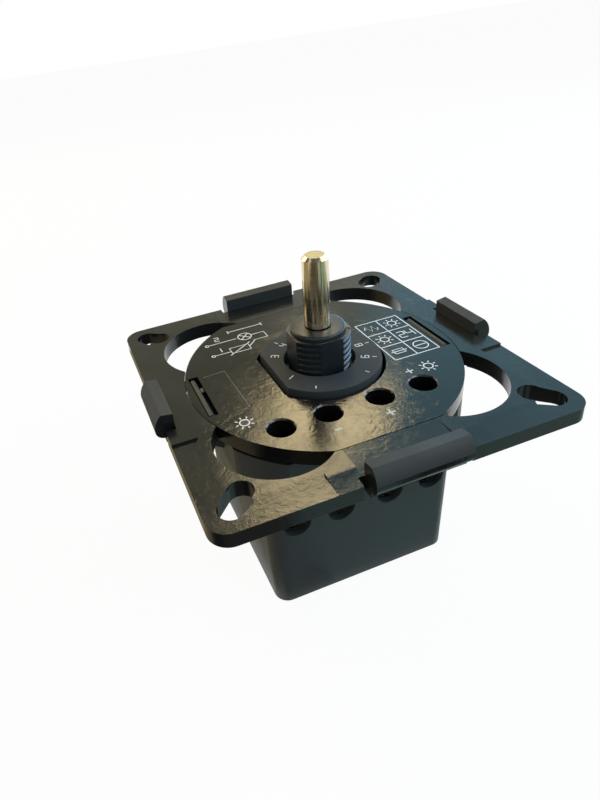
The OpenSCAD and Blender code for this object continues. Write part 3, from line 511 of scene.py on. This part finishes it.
# The grooves end at the edges of the flats, which stand a hair prouder than the cut corners
shave_mm = 2 * (FLAT_MM - FLAT_PROUD_MM)
join_or_cut(neck, block(shave_mm, shave_mm, *SHAVE_MM), "INTERSECT")
for width_mm, depth_mm in ((2 * FLAT_HALF_MM, 2 * FLAT_MM), (2 * FLAT_MM, 2 * FLAT_HALF_MM)):
    join_or_cut(neck, block(width_mm, depth_mm, *FLAT_ENDS_MM), "UNION")
join_or_cut(neck, round_bar(*FLANGE_MM), "UNION")
shoulder = round_bar(SHOULDER_MM, SHOULDER_FOOT_MM, NECK_TOP_MM)
only(shoulder)
round_edges(shoulder, SHOULDER_ROUND_MM, 4, SHOULDER_EDGE_ANGLE)
join_or_cut(neck, shoulder, "UNION")
join_or_cut(neck, round_bar(BORE_MM, FLANGE_MM[1] - CLEAR_MM, NECK_TOP_MM + CLEAR_MM),
            "DIFFERENCE")
join_or_cut(neck, round_bar(*MOUTH_MM, NECK_TOP_MM + CLEAR_MM), "DIFFERENCE")
only(neck)
bpy.ops.object.shade_smooth_by_angle(angle=NECK_SMOOTH_ANGLE)
dress(neck, plastic_finish("black_neck_plastic", "#182023", 0.32, 0.3, 0.2, 0, 0.44))
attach(neck, "insert")
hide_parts("threaded_neck")

# Shaft
# A brass rod turned on a lathe. The tool left fine rings round it, too fine to show in the
# render, so they are drawn as coarse as a third of a millimetre.
STAIN_MM = 2.5
RING_DEPTH = 0.00001
RING_STRETCH = 0.02


def turned_metal(name, colour, roughness, ring_mm, ring_height):
    """Turned metal: fine rings along the axis, with slightly uneven polish."""
    finish = bpy.data.materials.new(name)
    tree = blank_tree(finish)
    place = add_node(tree, "ShaderNodeTexCoord").outputs["Object"]
    stretch = add_node(tree, "ShaderNodeMapping", {"Scale": (RING_STRETCH, RING_STRETCH, 1)},
                       {"Vector": place})
    rings = add_node(tree, "ShaderNodeTexNoise", {"Scale": 1 / (ring_mm * MM), "Detail": 3.0},
                     {"Vector": stretch.outputs[0]})
    stain = add_node(tree, "ShaderNodeTexNoise", {"Scale": 1 / (STAIN_MM * MM), "Detail": 5.0},
                     {"Vector": place})
    shade = add_node(tree, "ShaderNodeValToRGB", links={"Fac": stain.outputs[0]})
    shade.color_ramp.elements[0].color = [c * 0.86 for c in linear(colour)[:3]] + [1]
    shade.color_ramp.elements[1].color = [min(1, c * 1.08) for c in linear(colour)[:3]] + [1]
    polish = add_node(tree, "ShaderNodeMapRange", {"From Min": 0.3, "From Max": 0.7,
                                                   "To Min": roughness - 0.04,
                                                   "To Max": roughness + 0.05},
                      {"Value": rings.outputs[0]})
    bump = add_node(tree, "ShaderNodeBump", {"Strength": ring_height, "Distance": RING_DEPTH},
                    {"Height": rings.outputs[0]})
    surface = add_node(tree, "ShaderNodeBsdfPrincipled", {"Metallic": 1.0},
                       {"Base Color": shade.outputs[0], "Roughness": polish.outputs[0],
                        "Normal": bump.outputs[0]})
    add_node(tree, "ShaderNodeOutputMaterial", links={"Surface": surface.outputs[0]})
    return finish


dress(nodes["shaft"], turned_metal("turned_brass", "#e9dab6", 0.15, 0.35, 0.06))

# Printed marks
# White ink, a hundredth of a millimetre proud of the plastic: lamp signs, plus and minus, a ruled
# table, a plain wiring diagram and a numbered dial. All of them are general signs. The mould's
# witness line is laid down in the same way, in a pale grey that is a painted highlight of its edge.
DISC_TOP_MM = 32.95
FACE_TOP_MM = 33.9
INK_THICKNESS_MM = 0.02
SIGN_LINE_MM, TABLE_LINE_MM, DIAL_LINE_MM, WITNESS_LINE_MM = 0.22, 0.2, 0.16, 0.14
TABLE_COLUMNS = (10.4, 14.4, 18.4)
TABLE_ROWS = (-5.5, -1.3, 2.9, 7.1)
TABLE_LEAN = 0.05
SEGMENTS = {"A": ((0, 1), (0.6, 1)), "B": ((0.6, 1), (0.6, 0.5)), "C": ((0.6, 0.5), (0.6, 0)),
            "D": ((0, 0), (0.6, 0)), "E": ((0, 0), (0, 0.5)), "F": ((0, 0.5), (0, 1)),
            "G": ((0, 0.5), (0.6, 0.5))}
FIGURES = ("ABCDEF", "BC", "ABGED", "ABGCD", "FGBC", "AFGCD", "AFGECD", "ABC", "ABCDEFG",
           "AFGBCD")


def round_stroke(x, y, radius, start=0, end=360, steps=24):
    """Points along an arc, in millimetres."""
    angles = [math.radians(start + (end - start) * i / steps) for i in range(steps + 1)]
    return [(x + radius * math.cos(a), y + radius * math.sin(a)) for a in angles]


def lamp_sign(x, y, size):
    """A ring with eight rays."""
    strokes = [round_stroke(x, y, 0.5 * size)]
    for i in range(8):
        a = math.radians(45 * i + 12)
        strokes.append([(x + r * size * math.cos(a), y + r * size * math.sin(a))
                        for r in (0.7, 1.0)])
    return strokes


def figure(number, x, y, height, turn=0):
    """A plain figure, centred, turned by an angle in degrees."""
    c, s = math.cos(math.radians(turn)), math.sin(math.radians(turn))
    strokes = []
    for key in FIGURES[number]:
        ends = [((u - 0.3) * height, (v - 0.5) * height) for u, v in SEGMENTS[key]]
        strokes.append([(x + u * c - v * s, y + u * s + v * c) for u, v in ends])
    return strokes


def plus(x, y, size):
    """Two crossed strokes."""
    return [[(x - size, y), (x + size, y)], [(x, y - size), (x, y + size)]]


white_ink = plastic_finish("white_ink", "#e9e8e2", 0.5, 0.2, 0.1)


def print_ink(name, surface_mm, width_mm, strokes, ink=white_ink):
    """Lays strokes down as flat ribs that ride on the insert. Each stands out of the surface
    by half its thickness."""
    line = bpy.data.curves.new(name, "CURVE")
    line.dimensions = "3D"
    line.bevel_depth = width_mm / 2 * MM
    line.bevel_resolution = 1
    line.use_fill_caps = True
    for stroke in strokes:
        path = line.splines.new("POLY")
        path.points.add(len(stroke) - 1)
        for point, (x, y) in zip(path.points, stroke):
            point.co = (x * MM, y * MM, 0, 1)
    mark = bpy.data.objects.new(name, line)
    bpy.context.scene.collection.objects.link(mark)
    only(mark)
    bpy.ops.object.convert(target="MESH")
    mark = bpy.context.object
    mark.scale = (1, 1, INK_THICKNESS_MM / width_mm)
    mark.location = (0, 0, surface_mm * MM)
    bpy.ops.object.transform_apply(location=True, rotation=True, scale=True)
    dress(mark, ink)
    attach(mark, "insert")


print_ink("terminal_signs", DISC_TOP_MM, SIGN_LINE_MM,
          lamp_sign(-16.3, -9.2, 1.4) + lamp_sign(13.7, -9.2, 1.4)
          + plus(10.45, -9.1, 0.65) + plus(2.54, -16.5, 0.7)
          + [[(-6.0, -16.5), (-5.0, -16.5)]])

# The table's cells hold two lamp signs, a fuse, a crossed ring, a wave and two plain figures
ruled = [[(x, TABLE_ROWS[0]), (x + TABLE_LEAN, TABLE_ROWS[-1])] for x in TABLE_COLUMNS]
ruled += [[(TABLE_COLUMNS[0], y), (TABLE_COLUMNS[-1] + TABLE_LEAN, y)] for y in TABLE_ROWS]
ruled += lamp_sign(12.4, 0.8, 1.45) + lamp_sign(16.4, 5.0, 1.45)
ruled += [[(11.0, -3.4), (13.8, -3.4)], [(11.5, -4.0), (13.3, -4.0), (13.3, -2.8), (11.5, -2.8),
                                         (11.5, -4.0)], [(15.4, -3.4), (17.4, -3.4)],
          round_stroke(16.4, -3.4, 1.2)]
ruled += [[(11.2, 5.0), (11.6, 5.9), (12.2, 4.1), (12.8, 5.9), (13.2, 4.1), (13.6, 5.0)]]
ruled += figure(2, 15.7, 0.8, 1.9) + figure(4, 17.2, 0.8, 1.9)
print_ink("ruled_table", DISC_TOP_MM, TABLE_LINE_MM, ruled)

wiring = [[(-14.3, 10.2), (-11.4, 10.2)], [(-14.3, 14.0), (-9.2, 14.0)],
          [(-11.4, 9.5), (-8.0, 9.5), (-8.0, 11.3), (-11.4, 11.3), (-11.4, 9.5)],
          [(-11.9, 9.0), (-7.5, 11.8)], [(-8.0, 10.4), (-6.6, 11.7)],
          round_stroke(-7.6, 14.0, 1.2), [(-8.4, 13.2), (-6.8, 14.8)], [(-8.4, 14.8), (-6.8, 13.2)],
          [(-6.4, 14.0), (-4.0, 14.0), (-4.0, 12.0), (-6.6, 12.0), (-6.6, 11.7)],
          round_stroke(-14.6, 10.2, 0.3, steps=10), round_stroke(-14.6, 14.0, 0.3, steps=10)]
wiring += figure(1, -13.2, 11.5, 1.3) + figure(2, -12.4, 15.4, 1.3)
wiring += [[(-9.8, 16.9), (-3.4, 16.9)], [(-9.8, 16.4), (-9.8, 17.4)],
           [(-3.4, 16.4), (-3.4, 17.4)]]
print_ink("wiring_diagram", DISC_TOP_MM, TABLE_LINE_MM, wiring)

# The witness line that an insert of the mould left beside the left snap slot, painted pale grey
# # as a highlight for the light that its edge catches
# Painted highlight: the pale grey stands for light caught on the line's edge, not the plastic's
# colour
print_ink("witness_line_highlight", DISC_TOP_MM, WITNESS_LINE_MM,
          [[(-18.2, 4.8), (-14.5, 5.0), (-14.3, -6.1)]],
          plastic_finish("witness_edge_highlight_plastic", "#5b5d55", 0.4, 0.2, 0.1))

# The dial: ticks from 8.2 to 8.9 mm from the shaft, and figures inside them. The face plate's
# straight side on the left leaves no room for some of them.
DIAL_STEPS = 10
DIAL_START, DIAL_STEP_ANGLE = 240, 30
TICK_INNER_MM, TICK_OUTER_MM = 8.2, 8.9
FIGURE_LINE_MM, FIGURE_HEIGHT_MM = 7.1, 1.15
FIGURE_REACH_MM = 7.3
TICK_LIMIT_MM, FIGURE_LIMIT_MM = -7.6, -6.6
dial = []
for step in range(DIAL_STEPS + 1):
    angle = DIAL_START - DIAL_STEP_ANGLE * step
    c, s = math.cos(math.radians(angle)), math.sin(math.radians(angle))
    if TICK_LIMIT_MM < TICK_OUTER_MM * c:
        dial.append([(r * c, r * s) for r in (TICK_INNER_MM, TICK_OUTER_MM)])
    if 0 < step < DIAL_STEPS and FIGURE_LIMIT_MM < FIGURE_REACH_MM * c:
        dial += figure(step, FIGURE_LINE_MM * c, FIGURE_LINE_MM * s, FIGURE_HEIGHT_MM, angle - 90)
print_ink("numbered_dial", FACE_TOP_MM, DIAL_LINE_MM, dial)

# Clamp screws and cages
# Zinc-plated steel screws with a cross slot, and folded cages with a nickel flash.
zinc = turned_metal("zinc_plated_steel", "#a9a9a4", 0.34, 0.2, 0.3)
nickel = turned_metal("nickel_flashed_steel", "#b8b5aa", 0.3, 0.3, 0.2)
for number in (1, 2, 3, 4):
    dress(nodes["clamp_screw_%d" % number], zinc)
    dress(nodes["clamp_cage_%d" % number], nickel)

# Parts inside the housing
# Bought-in parts: black and white mouldings, tinned and bronze contacts, a green board with
# its power stage, and a wound choke.
tinned = turned_metal("tinned_copper", "#c3c4c2", 0.28, 0.3, 0.2)
bronze = turned_metal("spring_bronze", "#c69a5c", 0.3, 0.3, 0.2)
aluminium = turned_metal("rolled_aluminium", "#c9cacb", 0.38, 0.15, 0.4)
winding_wire = turned_metal("enamelled_copper", "#b4622c", 0.3, 0.35, 1.0)
black = plastic_finish("black_moulding", "#1b1c1e", 0.42, 0.25, 0.4)
ivory = plastic_finish("ivory_nylon", "#ded9cb", 0.45, 0.3, 0.2)
grey_block = plastic_finish("grey_terminal_plastic", "#3a3b40", 0.42, 0.3, 0.3)
phenolic = plastic_finish("brown_phenolic", "#6b4526", 0.5, 0.2, 0.4)
laminate = plastic_finish("green_board_laminate", "#1f5a34", 0.35, 0.4, 0.3)
sleeve = plastic_finish("capacitor_sleeve", "#1f2550", 0.25, 0.8, 0.1)
red_dip = plastic_finish("red_epoxy_dip", "#93281a", 0.3, 1.2, 0.3)
ferrite = plastic_finish("sintered_ferrite", "#36373a", 0.55, 0.15, 0.6)
ceramic = plastic_finish("fuse_ceramic", "#cfcbc0", 0.4, 0.3, 0.2)
for finish, names in (
        (tinned, ("shaft_clip", "pot_leads", "fixed_contacts", "board_screws", "contact_bars",
                  "transistor_screws")),
        (bronze, ("wiper", "contact_bridge")),
        (aluminium, ("heat_spreader",)),
        (winding_wire, ("choke_winding",)),
        (black, ("pot_case", "switch_case", "power_transistors", "control_chip",
                 "chip_resistors")),
        (ivory, ("rotor", "push_plunger")),
        (grey_block, ("left_terminal_block", "right_terminal_block")),
        (phenolic, ("resistor_disc",)),
        (laminate, ("circuit_board",)),
        (sleeve, ("storage_capacitor",)),
        (red_dip, ("film_capacitor",)),
        (ferrite, ("choke_core",)),
        (ceramic, ("fuse",))):
    for name in names:
        dress(nodes[name], finish)

# Return spring
# A spring of tinned steel wire under the push switch's bridge. It stands on the switch's floor,
# and the shaft's whole push presses it down to about half its length.
SPRING_SMOOTH_ANGLE = math.radians(50)
spring = merged_copy("return_spring", "wound_return_spring")
bpy.ops.object.shade_smooth_by_angle(angle=SPRING_SMOOTH_ANGLE)
dress(spring, tinned)
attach(spring, "insert")
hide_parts("return_spring")
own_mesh(spring)
